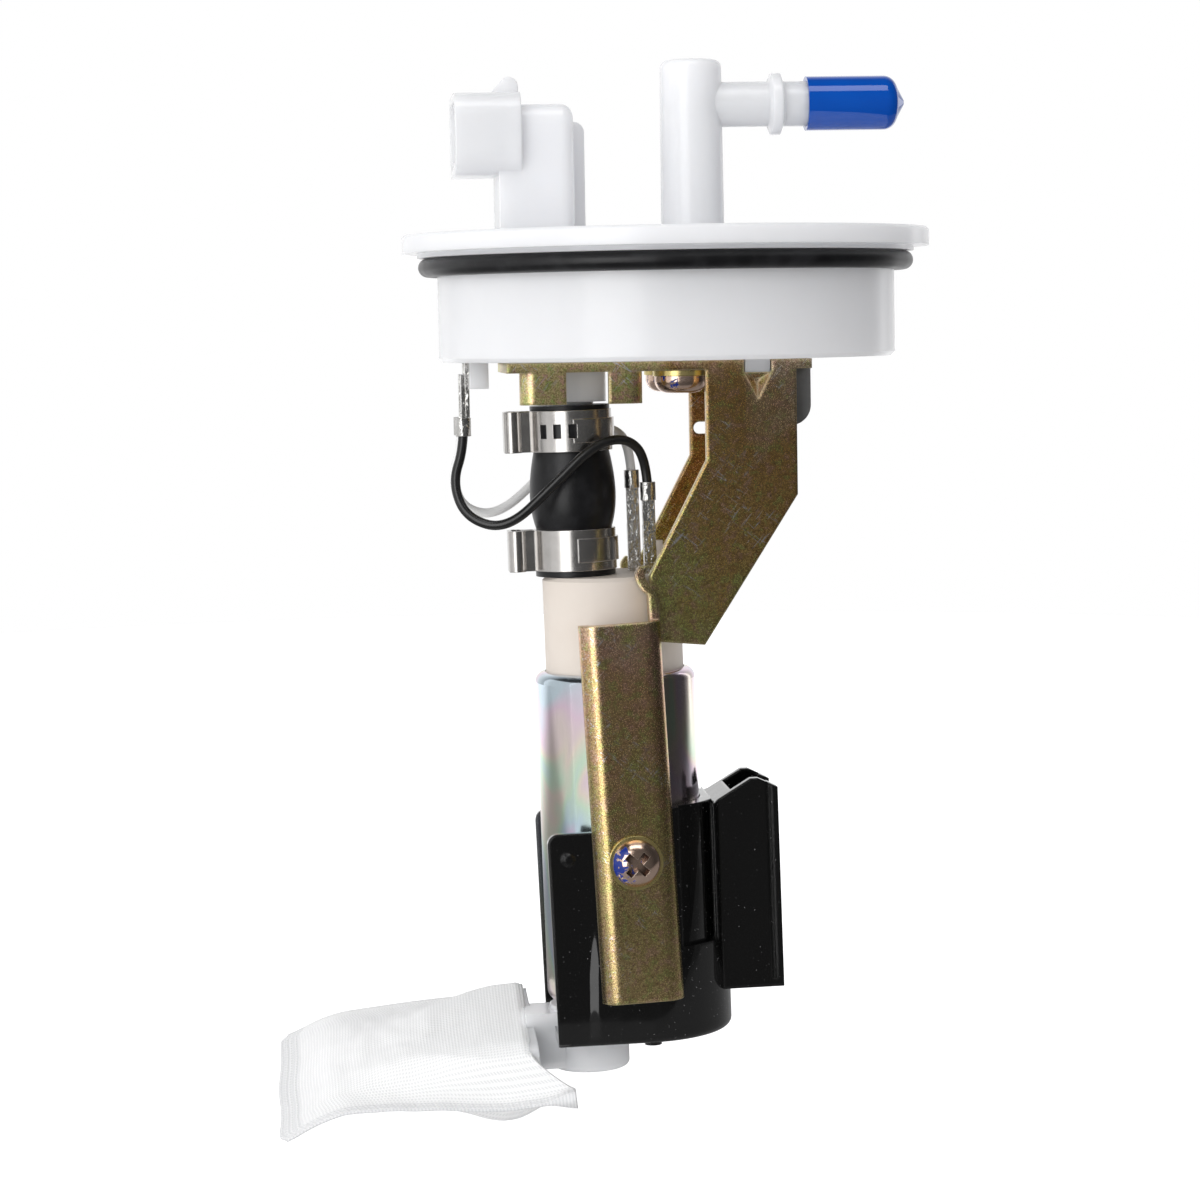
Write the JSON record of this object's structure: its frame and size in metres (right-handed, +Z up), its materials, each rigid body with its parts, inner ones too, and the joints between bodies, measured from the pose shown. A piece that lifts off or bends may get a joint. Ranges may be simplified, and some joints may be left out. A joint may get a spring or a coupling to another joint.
{
  "type": "fuel pump module",
  "caption": "In-tank fuel pump module: round cover with outlet spigot and connector, bracket, hose, electric pump, holder and inlet strainer bag.",
  "frame": {"origin": "on the cover's axis, in the plane where the underside of the rim rests on the tank", "axes": "+Z up out of the tank along the cover's axis, +X along the outlet spigot, +Y away from the picture's camera"},
  "size_m": [0.1255, 0.0986, 0.1957],
  "materials": {
    "nylon_natural": "satin, natural translucent white",
    "rubber_black": "matt black",
    "vinyl_blue": "glossy soft vinyl",
    "zinc_yellow": "iridescent yellow zinc on steel",
    "zinc_barrel": "iridescent zinc on steel tube",
    "steel_dark": "dark plain steel",
    "screw_copper": "copper-toned plated steel",
    "steel_stainless": "bright stainless band",
    "terminal_tin": "tinned brass",
    "lead_black": "soft black insulation",
    "lead_white": "soft white insulation",
    "resin_beige": "beige engineering resin",
    "plastic_black": "glossy black moulding",
    "mesh_white": "woven white nylon",
    "magnet_grey": "ferrite",
    "steel_inner": "plain steel",
    "copper_wire": "enamelled copper",
    "carbon": "carbon",
    "bronze_bush": "sintered bronze",
    "aluminium_stage": "die cast"
  },
  "bodies": {
    "module": {"flange_cover": "nylon_natural", "seal_ring": "rubber_black", "connector_blades": "terminal_tin", "bracket": "zinc_yellow", "earth_tab": "steel_dark", "plate_washers": "screw_copper", "plate_screws": "screw_copper", "strip_washers": "screw_copper", "strip_screws": "screw_copper", "outlet_hose": "rubber_black", "upper_clamp": "steel_stainless", "lower_clamp": "steel_stainless", "cover_crimps": "terminal_tin", "pump_crimps": "terminal_tin", "black_lead": "lead_black", "white_lead": "lead_white", "pump_head": "resin_beige", "pump_blades": "terminal_tin", "pump_barrel": "zinc_barrel", "magnets": "magnet_grey", "upper_bush": "bronze_bush", "lower_bush": "bronze_bush", "front_brush_spring": "steel_inner", "rear_brush_spring": "steel_inner", "check_spring": "steel_inner", "check_stop": "resin_beige", "relief_spring": "steel_inner", "relief_plug": "resin_beige", "casing_plate": "aluminium_stage", "inlet_cover": "aluminium_stage", "holder": "plastic_black", "rubber_cushion": "rubber_black", "strainer_neck": "nylon_natural", "strainer_spreader": "nylon_natural", "strainer_sock": "mesh_white"},
    "rotor": {"rotor_shaft": "steel_inner", "armature_core": "steel_inner", "armature_windings": "copper_wire", "commutator": "carbon", "impeller": "resin_beige"},
    "check_valve": {"check_poppet": "resin_beige"},
    "relief_valve": {"relief_ball": "steel_inner"},
    "front_brush": {"front_brush": "carbon"},
    "rear_brush": {"rear_brush": "carbon"},
    "cap": {"port_cap": "vinyl_blue"}
  },
  "joints": [
    {"name": "rotor_spin", "type": "hinge", "parent": "module", "child": "rotor", "pos_m": [-0.01083, 0, -0.0785], "axis": [-0.0209, 0, 0.9998], "continuous": true},
    {"name": "check_valve_lift", "type": "slide", "parent": "module", "child": "check_valve", "axis": [-0.0209, 0, 0.9998], "range_m": [0, 0.0015], "stiffness_N_per_m": 120, "springref_m": -0.002, "deforming": ["check_spring"]},
    {"name": "relief_valve_lift", "type": "slide", "parent": "module", "child": "relief_valve", "axis": [-0.0209, 0, 0.9998], "range_m": [0, 0.001], "stiffness_N_per_m": 400, "springref_m": -0.002, "deforming": ["relief_spring"]},
    {"name": "front_brush_slide", "type": "slide", "parent": "module", "child": "front_brush", "axis": [-0.0209, 0, 0.9998], "range_m": [0, 0.0015], "stiffness_N_per_m": 150, "springref_m": -0.003, "deforming": ["front_brush_spring"]},
    {"name": "rear_brush_slide", "type": "slide", "parent": "module", "child": "rear_brush", "axis": [-0.0209, 0, 0.9998], "range_m": [0, 0.0015], "stiffness_N_per_m": 150, "springref_m": -0.003, "deforming": ["rear_brush_spring"]},
    {"name": "cap_pull", "type": "slide", "parent": "module", "child": "cap", "axis": [1, 0, 0], "range_m": [0, 0.02]}
  ]
}
